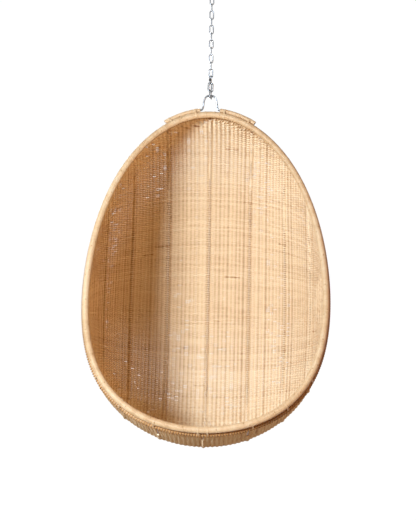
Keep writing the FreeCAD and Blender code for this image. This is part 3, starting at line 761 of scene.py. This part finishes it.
@dataclass
class WovenShell:
    """The shell: weft rows that go in and out of the stakes and over the ribs, from hoop to hoop.

    A column is a point of a row: there are as many columns from stake to stake as samples says.
    """

    form: EggForm
    sweep: StrandSweep
    row_pitch: float = 4.3 * MM
    stake_pitch: float = 15.7 * MM
    samples: int = 3
    stakes_per_rib: int = 10
    ribs_each_side: int = 3
    stake_radius: float = 1.1 * MM
    stake_step: float = 14 * MM
    rib_radius: float = 4.4 * MM
    rib_reach: float = 11 * MM
    rib_slope: float = 5 * MM
    weft_half_thickness: float = 1.45 * MM
    weft_flatness: float = 0.96
    weft_half_widths: Pair = (0.8 * MM, 4.2 * MM)
    wave_roundness: float = 1.5
    lift_spread: float = 0.04
    fill: float = 1.2
    rib_swell: float = -0.15
    beside_rib_swell: float = 0.25
    drift: float = 0.0009
    drift_rate: float = 3.0
    drift_columns: float = 40.0
    row_tone: float = 0.22
    # Painted light: how far the crests over the stakes are drawn lighter and the hollows between them darker
    painted_relief_shading: float = 3.2
    crest_level: float = 0.68
    crest_start: float = 0.9
    column_tone: float = 0.3
    # Painted highlight drawn on the weft where it crosses a rib
    painted_rib_highlight: float = 0.6
    dark_share: float = 0.02
    dark_columns: tuple[int, int] = (4, 12)
    darkness: Pair = (0.8, 2.0)
    slack_share: float = 0.2
    slack_rate: float = 0.7
    slack_columns: float = 45.0
    stake_slack: Pair = (0.2, 1.0)
    thinning: float = 0.42
    short_row_spacing: float = 0.62
    short_row_end_spacing: float = 0.75
    settled_rows: int = 9
    short_row_cover: float = 2.0
    blend_columns: int = 5
    stitch: Winding = Winding(8.4 * MM, 2.0 * MM, 0.7 * MM, 10)
    stitched_rows: float = 0.55
    stitch_start: float = 2 * MM
    seed: int = 11

    @property
    def rib_pitch(self) -> float:
        """The run from rib to rib."""
        return self.stake_pitch * self.stakes_per_rib

    @property
    def rib_columns(self) -> int:
        """The columns from rib to rib."""
        return self.samples * self.stakes_per_rib

    def rows(self) -> Array:
        """Spaces the rows evenly down the middle of the back.

        Returns:
            The row angles.
        """
        fine = row_angles(0.0, 6000)
        run = path_length(self.form.shell(np.full_like(fine, math.pi / 2), fine))
        count = int(run[-1] / self.row_pitch)
        log.info("middle of the back: %.3f m, %d rows", run[-1], count)
        return np.interp((np.arange(count) + 0.5) * run[-1] / count, run, fine)

    def near_rib(self, column: Array) -> Array:
        """How near columns are to a rib.

        Args:
            column: the columns' numbers.

        Returns:
            1 on a rib and 0 away from it.
        """
        cut = self.rib_columns
        apart = np.abs((column + cut / 2) % cut - cut / 2) * self.stake_pitch / self.samples
        inside = column <= (self.ribs_each_side + 0.5) * cut
        return np.clip((self.rib_reach - apart) / self.rib_slope, 0, 1) * inside

    def wave(self, column: Array, row: int) -> Array:
        """How far a row stands out of the middle surface.

        Args:
            column: the columns' numbers.
            row: the row's number.

        Returns:
            The distance at each column.
        """
        phase = np.cos(math.pi * (column / self.samples + row))
        bent = np.sign(phase) * np.abs(phase) ** self.wave_roundness
        radius = self.stake_radius + (self.rib_radius - self.stake_radius) * self.near_rib(column)
        return bent * (radius + self.weft_half_thickness)

    def short_rows(self, gap: Array, stops: Array) -> dict[int, int]:
        """Stops every second row where the rows crowd together towards the hoop.

        Args:
            gap: how far apart the rows are at each row and column.
            stops: the last column of each row.

        Returns:
            The column at which each short row stops.
        """
        close = gap < self.short_row_spacing * self.row_pitch
        starts = []
        for j, stop in enumerate(stops):
            loose = np.nonzero(~close[j, :max(stop - 2, 1)])[0]
            starts.append(loose[-1] + 1 if len(loose) else 0)
        padded = np.pad(starts, self.settled_rows // 2, mode="edge")
        around = np.lib.stride_tricks.sliding_window_view(padded, self.settled_rows)
        starts = np.median(around, axis=1).astype(int) // self.samples * self.samples
        ends = [gap[j, max(stop - self.samples, 0):stop + 1].max() for j, stop in enumerate(stops)]
        return {j: int(starts[j]) for j in range(1, len(stops), 2)
                if 2 * self.samples < starts[j] < stops[j] - self.samples
                and ends[j] < self.short_row_end_spacing * self.row_pitch}

    def slack(self, side: Side, rows: Array, columns: Array) -> Array:
        """Finds where the weft is drawn thin, so that light comes through.

        Args:
            side: which half.
            rows: the row angle at each row and column.
            columns: the columns' numbers.

        Returns:
            For each pair of rows and each column, whether the weft is thin.
        """
        chance = smooth_noise(rows[::2] * self.slack_rate, columns / self.slack_columns,
                              self.seed + 3 * side.value, 5)
        spots = np.random.default_rng(self.seed + 4 * side.value)
        nearest = np.round(columns / self.samples).astype(int)
        open_stake = spots.uniform(*self.stake_slack, nearest[-1] + 1)
        cells = spots.random((len(chance), nearest[-1] + 1))
        return cells[:, nearest] < self.slack_share * np.clip(chance, 0, 1) * open_stake[nearest]

    def tones_and_painted_light(self, side: Side, columns: Array) -> Array:
        """Lines down the weave: painted highlight on crests and over ribs, painted shade and random tone in
        hollows.

        Args:
            side: which half.
            columns: the columns' numbers.

        Returns:
            The tone that each column adds, painted light and shade included.
        """
        uneven = np.random.default_rng(self.seed + 9 * side.value).normal(0, self.column_tone, len(columns))
        raised = np.abs(np.cos(math.pi * columns / self.samples))
        at_rib = columns % self.rib_columns == 0
        # Painted light and shade: the crests over the stakes are drawn lighter, the hollows between them
        # darker
        crest = self.painted_relief_shading * (raised - self.crest_level)
        # A painted highlight on the weft over each rib, and random tone in the hollows
        return crest + uneven * (raised < self.crest_start) + self.painted_rib_highlight * at_rib

    def half(self, side: Side) -> list[list[Strand]]:
        """The weft of one half of the shell.

        Args:
            side: which half.

        Returns:
            For each panel, from the middle outwards, its strands.
        """
        form, rows = self.form, self.rows()
        rng = np.random.default_rng(self.seed + side.value)
        row_tones = np.random.default_rng(self.seed).normal(0, self.row_tone, len(rows))
        spacing = self.stake_pitch / self.samples
        columns = np.arange(int(form.run_table[-1] / spacing) + 2)
        place = np.repeat(rows[:, None], len(columns), axis=1)
        drift = smooth_noise(place * self.drift_rate, columns / self.drift_columns, self.seed + side.value, 9)
        place = np.clip(place + drift * self.drift, 0.002, math.pi - 0.002)
        points, out = form.stake(columns * spacing, place, side)
        gap = np.zeros(place.shape)
        gap[1:-1] = np.linalg.norm(points[2:] - points[:-2], axis=-1) / 2
        gap[0], gap[-1] = gap[1], gap[-2]
        stops = (form.run_end(rows) / spacing - 0.5).astype(int)
        short_at = self.short_rows(gap, stops)
        slack = self.slack(side, place, columns)
        swell = np.where(columns % self.rib_columns == 0, self.rib_swell, self.beside_rib_swell)
        swell = 1 + swell * self.near_rib(columns)
        # The weave's painted light and shade, with random tone in the hollows
        upright = self.tones_and_painted_light(side, columns)
        borders = [k * self.rib_columns for k in range(self.ribs_each_side + 1)] + [len(columns)]
        found: list[list[Strand]] = [[] for _ in borders[1:]]
        for j, row_tone in enumerate(row_tones):
            stop = short_at.get(j, stops[j])
            tone = np.full(len(columns), row_tone)
            if rng.random() < self.dark_share:
                begin = rng.integers(0, max(2, stop))
                tone[begin:begin + rng.integers(*self.dark_columns)] -= rng.uniform(*self.darkness)
            tone = tone + upright
            # The long rows spread over the place that a short row beside them leaves
            alone = min(short_at.get(j - 1, len(columns)), short_at.get(j + 1, len(columns)))
            spread = (columns >= alone - self.samples) & (j % 2 == 0)
            spread = np.where(spread, self.short_row_cover, 1.0)
            spread = np.pad(spread, self.blend_columns // 2, mode="edge")
            spread = np.convolve(spread, np.ones(self.blend_columns) / self.blend_columns, mode="valid")
            half_width = np.clip(gap[j] * spread * self.fill / 2, *self.weft_half_widths)
            half_width = half_width * swell * (1 - self.thinning * slack[j // 2])
            lift = self.wave(columns, j) * (1 + rng.normal(0, self.lift_spread, len(columns)))
            if j not in short_at and stop + 1 < len(columns):
                stop += 1
                points[j, stop] = form.shell(np.zeros(1), place[j, :1])[0] * side.mirror
                out[j, stop] = out[j, stop - 1]
                lift[stop] = 0.0
                half_width[stop] = half_width[stop - 1]
            for panel, first, final in zip(found, borders, borders[1:]):
                part = slice(first, min(stop, final) + 1)
                if min(stop, final) - first >= 2:
                    along = side.value * spacing * columns[part]
                    panel.append(Strand(points[j, part], out[j, part], half_width[part], lift[part],
                                        tone[part], along, 1.7 * j))
        return found

    def stakes(self, side: Side) -> list[list[Strand]]:
        """The stakes of one half, without the ribs' places.

        Args:
            side: which half.

        Returns:
            For each panel, from the middle outwards, its stakes.
        """
        form = self.form
        rng = np.random.default_rng(self.seed + 5 * side.value)
        found: list[list[Strand]] = [[] for _ in range(self.ribs_each_side + 1)]
        fine = row_angles(0.004, 400)
        for k in range(1, int(form.run_table[-1] / self.stake_pitch) + 1):
            panel, beyond_rib = divmod(k, self.stakes_per_rib)
            run = k * self.stake_pitch
            crossed = fine[form.run_end(fine) > run]
            if (beyond_rib == 0 and panel <= self.ribs_each_side) or len(crossed) < 4:
                continue
            steps = path_length(form.stake(run, crossed, side)[0])
            wanted = np.linspace(0, steps[-1], max(4, int(steps[-1] / self.stake_step)))
            points, out = form.stake(run, np.interp(wanted, steps, crossed), side)
            found[min(panel, self.ribs_each_side)].append(
                Strand.even(points, out, self.stake_radius, rng.normal(0, 1), 2.3 * k * side.value))
        return found

    def rib_stitches(self) -> list[Strand]:
        """Winds thin core round the top of every rib, between the rows that cross it.

        Returns:
            The stitches.
        """
        fine = row_angles(0.02, 1200)
        radius = self.rib_radius + self.stitch.half_thickness
        found = []
        for i in range(self.ribs_each_side + 1):
            for side in Side if i else (Side.RIGHT,):
                run = i * self.rib_pitch
                row = fine[self.form.run_end(fine) > run + self.stitch_start]
                row = row[row < row[0] + self.stitched_rows]
                line, out = self.form.stake(run, row, side)
                across = np.cross(unit(np.gradient(line, axis=0)), out)
                found.append(self.stitch.wind(Guide(line, out, across), radius,
                                              self.seed + 7 * i + side.value))
        return found

    def build(self) -> None:
        """Makes all panels, puts them on the egg and dresses the ribs."""
        self.sweep.lay("rib_stitches", self.rib_stitches(), WEFT, self.stitch.flatness, "rattan_weave")
        dress("rib_", RIB)
        for side in Side:
            for k, (rows, stakes) in enumerate(zip(self.half(side), self.stakes(side)), start=1):
                label = f"{side.word}_side" if k > self.ribs_each_side else f"{side.word}_{k}"
                self.sweep.lay(f"weft_{label}", rows, WEFT, self.weft_flatness, "rattan_weave",
                               f"woven_panel_{label}")
                self.sweep.lay(f"stakes_{label}", stakes, STAKES, 1.0, "rattan_weave")


@dataclass
class Binding:
    """Turns of peel pulled tight round the rim and a pole that lies beside it."""

    form: EggForm
    width: float
    turns: int = 2
    steps: int = 26
    half_thickness: float = 0.2 * MM
    flatness: float = 0.22
    tone: float = 0.3

    @property
    def half_width(self) -> float:
        """Half the width of the peel, with turns that lie edge to edge."""
        return self.width / (self.turns + 1) / 2

    def make(self, angle: float, pole: Triple, begin: float, lane: float) -> Strand:
        """Winds one binding.

        Args:
            angle: its place on the rim.
            pole: the other pole's offset and depth beside the rim, and its radius.
            begin: the angle at which the peel starts, from the other pole's side.
            lane: its lane.

        Returns:
            The wound peel.
        """
        at, (offset, depth, radius) = np.array([angle]), pole
        rim, other = self.form.rim(at)[0], self.form.rim(at, offset, depth)[0]
        direction = self.form.direction(angle)
        apart = other - rim
        towards = apart / np.linalg.norm(apart)
        square = np.cross(direction, towards)
        count = self.turns * self.steps
        share = np.arange(count + 1) / count
        turn = begin + share * self.turns * math.tau
        out = towards * np.cos(turn)[:, None] + square * np.sin(turn)[:, None]
        far = (out @ apart + radius > self.form.rim_radius)[:, None]
        points = np.where(far, other + out * (radius + self.half_thickness),
                          rim + out * (self.form.rim_radius + self.half_thickness))
        points = points + direction * ((share - 0.5) * (self.width - 2 * self.half_width))[:, None]
        return Strand.even(points, out, self.half_width, self.tone * math.sin(lane), lane)


@dataclass
class Rim:
    """The rim: a whole pole wound all round in flat peel, with the thinner hoop bound behind it."""

    form: EggForm
    sweep: StrandSweep
    shell: WovenShell
    peel: Winding = Winding(3.6 * MM, 1.764 * MM, 0.7 * MM, 14)
    ring_points: int = 1440
    tie_width: float = 8.0 * MM
    tie_to_rib_gap: float = 6.0 * MM
    border_radius: float = 2.3 * MM
    stitch: Winding = Winding(8.6 * MM, 2.0 * MM, 1.7 * MM, 12)
    stitch_back: float = 3.0 * MM
    seed: int = 23

    @property
    def hoop(self) -> Triple:
        """The hoop's offset and depth beside the rim, and its radius."""
        return self.form.hoop_spread, self.form.hoop_setback, self.form.hoop_radius

    def ring(self, offset: float, depth: float) -> Guide:
        """A closed line beside the rim, moved outwards and back."""
        return self.form.guide(np.linspace(0, math.tau, self.ring_points), offset, depth, True)

    def winding(self) -> Strand:
        """The peel wound round the whole rim pole."""
        radius = self.form.rim_radius - self.peel.half_thickness
        return self.peel.wind(self.ring(0.0, 0.0), radius, self.seed)

    def tie_angles(self) -> list[float]:
        """Places the ties of the right half: at the widest row and beside both ends of each rib.

        Returns:
            Their angles on the rim.
        """
        form = self.form
        angles = [float(form.fan(np.array([form.widest_row]))[0])]
        aside = self.shell.rib_radius + self.tie_to_rib_gap + self.tie_width / 2
        fine, step = row_angles(1e-4, 8000), 1e-3
        for i in range(self.shell.ribs_each_side + 1):
            crossed = fine[form.run_end(fine) >= i * self.shell.rib_pitch]
            for row, inward in ((crossed[0], 1), (crossed[-1], -1)):
                angle = form.fan(np.array([row]))
                speed = np.linalg.norm(form.rim(angle + step) - form.rim(angle)) / step
                angles.append(float(angle[0] + inward * aside / speed))
        return angles

    def ties(self) -> list[Strand]:
        """The bindings that hold the hoop to the rim."""
        binding, hoop = Binding(self.form, self.tie_width), self.hoop
        return [binding.make(sign * angle, hoop, 0.0, i + 0.3 * sign)
                for i, angle in enumerate(self.tie_angles()) for sign in (1, -1)]

    def edge(self) -> list[Strand]:
        """Makes the shell's border strand and the stitches that loop it to the hoop.

        Returns:
            The border and the stitches.
        """
        form = self.form
        ring = self.ring(form.hoop_spread, form.edge_depth)
        along = path_length(ring.centre)[:-1]
        tone = smooth_noise(along * 4, 0.0, self.seed + 3) * 0.6 - 0.5
        border = Strand.even(ring.centre[:-1], ring.side[:-1], self.border_radius, tone, 3.1, True)
        grown = form.hoop_radius + self.stitch.half_thickness
        ring = self.ring(form.hoop_spread, form.hoop_setback + self.stitch_back)
        return [border, self.stitch.wind(ring, grown, self.seed + 5, self.stitch_back)]

    def build(self) -> None:
        """Makes the windings and dresses the poles."""
        self.sweep.lay("rim_peel_winding", [self.winding()], PEEL, self.peel.flatness, "rattan_peel",
                       "rim_wrap")
        self.sweep.lay("hoop_tie_windings", self.ties(), PEEL, Binding.flatness, "rattan_peel", "hoop_ties")
        self.sweep.lay("shell_border_and_stitches", self.edge(), BORDER, self.stitch.flatness, "rattan_weave")
        dress("rim_pole", POLE)
        dress("back_hoop", HOOP)


@dataclass
class Hanger:
    """The bail and the two bound cap poles that hold its arms on the rim."""

    form: EggForm
    sweep: StrandSweep
    cap_radius: float = 7.5 * MM
    clearance: float = 0.3 * MM
    cap_ends: Pair = (35.0 * MM, 156.0 * MM)
    cap_points: int = 60
    cap_sides: int = 20
    lashing_places: Pair = (52.0 * MM, 140.0 * MM)
    lashing_width: float = 9.0 * MM
    peel: Winding = Winding(3.6 * MM, 1.764 * MM, 0.6 * MM, 14)
    core_inset: float = 0.96 * MM
    seed: int = 41

    @property
    def offset(self) -> float:
        """How far the caps' centre line lies outside the rim's."""
        return self.form.rim_radius + self.cap_radius + self.clearance

    def angle_at(self, x: float | Array) -> Array:
        """The angles on the upper rim at which the caps' line reaches an x."""
        fine = np.linspace(0.0, math.pi / 3, 3000)
        return np.interp(x, self.form.beside_rim(fine, self.offset)[0], fine)

    def cap(self, side: Side) -> tuple[Strand, Strand]:
        """Makes one cap pole.

        Args:
            side: which half.

        Returns:
            Its core and the peel wound round it.
        """
        angle = self.angle_at(np.linspace(*self.cap_ends, self.cap_points)) * side.value
        guide = self.form.guide(angle, self.offset)
        core = Strand.even(guide.centre, guide.side, self.cap_radius - self.core_inset, 0.0, side.value)
        radius = self.cap_radius - self.peel.half_thickness
        return core, self.peel.wind(guide, radius, self.seed + side.value)

    def lashings(self) -> list[Strand]:
        """The bindings that tie the caps to the rim."""
        binding, cap = Binding(self.form, self.lashing_width), (self.offset, 0.0, self.cap_radius)
        return [binding.make(float(self.angle_at(x)) * side.value, cap, -math.pi / 2, 10 * i + 2 * side.value)
                for side in Side for i, x in enumerate(self.lashing_places)]

    def build(self) -> None:
        """Makes the caps and their lashings and dresses the bail."""
        for side in Side:
            core, wound = self.cap(side)
            self.sweep.lay(f"cap_core_{side.word}", [core], POLE, 1.0, "rattan_pole", sides=self.cap_sides)
            self.sweep.lay(f"cap_peel_{side.word}", [wound], PEEL, self.peel.flatness, "rattan_peel",
                           f"cap_pole_{side.word}")
        self.sweep.lay("cap_lashing_windings", self.lashings(), PEEL, Binding.flatness, "rattan_peel",
                       "cap_lashings")
        dress("bail", BAIL)


@dataclass
class Suspension:
    """The steel that hangs the chair: ceiling plate and eye, snap hook, chain, sling and quick link."""

    finishes: tuple[tuple[str, Steel], ...] = (
        ("chain_link", CHAIN), ("sling_link", CHAIN), ("quick_link", QUICK), ("snap_hook", HOOK),
        ("ceiling", CEILING))

    def build(self) -> None:
        """Dresses every steel node of the suspension."""
        for start, finish in self.finishes:
            dress(start, finish)


@dataclass(frozen=True)
class Lamp:
    """A square soft lamp that looks at the egg: its side in metres, its power in watts."""

    name: str
    place: Triple
    size: float
    power: float
    tint: str = "FFFFFF"
    target: Triple = (0.0, -0.1, -1.1)

    def hang(self) -> None:
        """Adds the lamp to the scene."""
        light = bpy.data.lights.new(self.name, "AREA")
        light.shape = "SQUARE"
        light.size = self.size
        light.energy = self.power
        light.color = linear(self.tint)[:3]
        lamp = bpy.data.objects.new(self.name, light)
        bpy.context.scene.collection.objects.link(lamp)
        lamp.location = self.place
        lamp.visible_camera = False
        aim = Vector(self.target) - Vector(self.place)
        lamp.rotation_euler = aim.to_track_quat("-Z", "Y").to_euler()


@dataclass
class Studio:
    """The plain pale room, its lamps and the camera."""

    distance: float = 3.9
    eye_level: float = -1.0262
    yaw: float = math.radians(0.9)
    roll: float = math.radians(0.95)
    lens: float = 77.1
    sensor: float = 36.0
    aside: float = 1.0 * MM
    floor_level: float = -2.25
    floor_reach: float = 9.0
    floor_colour: str = "9C8468"
    floor_roughness: float = 0.9
    floor_white: float = 0.9
    floor_glow: float = 1.15
    # The room's light: on matt faces a soft warm one, in gloss a brighter one, and white to the camera
    room_tint: str = "FFBE82"
    room_level: float = 0.18
    room_gloss: float = 0.55
    room_white: float = 1.02
    # A cool key from the left front, a faint warm fill from the right and a lamp behind for the outside
    lamps: tuple[Lamp, ...] = (Lamp("key", (-1.70, -3.15, -0.50), 0.6, 200, "DEECFF"),
                               Lamp("fill", (2.6, -1.7, -0.9), 0.8, 15, "FFB478"),
                               Lamp("back", (-0.8, 2.8, -0.4), 1.5, 70))

    def stage(self) -> None:
        """Makes the floor: white to the camera, a matt surface to the light, clear from below."""
        mesh, far = bpy.data.meshes.new("floor"), self.floor_reach
        corners = [(x, y, self.floor_level) for x, y in ((-far, -far), (far, -far), (far, far), (-far, far))]
        mesh.from_pydata(corners, [], [(0, 1, 2, 3)])
        floor = bpy.data.objects.new("floor", mesh)
        bpy.context.scene.collection.objects.link(floor)
        tree = FLOOR.material.node_tree
        paper = tree.nodes["Principled BSDF"]
        feed(tree, paper, {"Base Color": linear(self.floor_colour), "Roughness": self.floor_roughness})
        part = add(tree, "ShaderNodeMath", {0: plain_rays(tree), 1: self.floor_white}, operation="MULTIPLY")
        glow = add(tree, "ShaderNodeEmission", {"Color": WHITE, "Strength": self.floor_glow})
        both = add(tree, "ShaderNodeMixShader", {0: part, 1: paper, 2: glow})
        below = add(tree, "ShaderNodeNewGeometry").outputs["Backfacing"]
        clear = add(tree, "ShaderNodeBsdfTransparent")
        shown = add(tree, "ShaderNodeMixShader", {0: below, 1: both, 2: clear})
        feed(tree, tree.nodes["Material Output"], {"Surface": shown})
        mesh.materials.append(FLOOR.material)

    def surround(self) -> None:
        """Makes the world: white to the camera, dimmer in reflections and softly warm as light."""
        world = bpy.data.worlds.new("white_room")
        bpy.context.scene.world = world
        world.use_nodes = True
        tree = world.node_tree
        seen = plain_rays(tree)
        camera = add(tree, "ShaderNodeLightPath").outputs["Is Camera Ray"]
        level = add(tree, "ShaderNodeMapRange", {"Value": seen, "To Min": self.room_level,
                                                 "To Max": self.room_gloss})
        level = add(tree, "ShaderNodeMapRange", {"Value": camera, "To Min": level, "To Max": self.room_white})
        tint = add(tree, "ShaderNodeMix", {0: seen, 6: linear(self.room_tint), 7: WHITE}, data_type="RGBA")
        feed(tree, tree.nodes["Background"], {"Color": tint.outputs[2], "Strength": level})

    def camera(self) -> None:
        """Places the camera at the photograph's angle."""
        data = bpy.data.cameras.new("camera")
        data.lens = self.lens
        data.sensor_width = self.sensor
        camera = bpy.data.objects.new("camera", data)
        bpy.context.scene.collection.objects.link(camera)
        level = Vector((0, 0, self.eye_level))
        place = Vector((math.sin(self.yaw), -math.cos(self.yaw), 0)) * self.distance + level
        across = Vector((math.cos(self.yaw), math.sin(self.yaw), 0))
        turn = (level + across * self.aside - place).to_track_quat("-Z", "Y").to_matrix().to_4x4()
        camera.matrix_world = Matrix.Translation(place) @ turn @ Matrix.Rotation(self.roll, 4, "Z")
        bpy.context.scene.camera = camera

    def build(self) -> None:
        """Makes the whole studio."""
        self.stage()
        for lamp in self.lamps:
            lamp.hang()
        self.surround()
        self.camera()
        bpy.context.scene.view_settings.view_transform = "Standard"


def main() -> None:
    """Builds every sub-assembly in order."""
    logging.basicConfig(level=logging.INFO, format="%(message)s")
    form = EggForm()
    sweep = StrandSweep()
    shell = WovenShell(form, sweep)
    for assembly in (shell, Rim(form, sweep, shell), Hanger(form, sweep), Suspension(), Studio()):
        assembly.build()


if __name__ == "__main__":
    main()
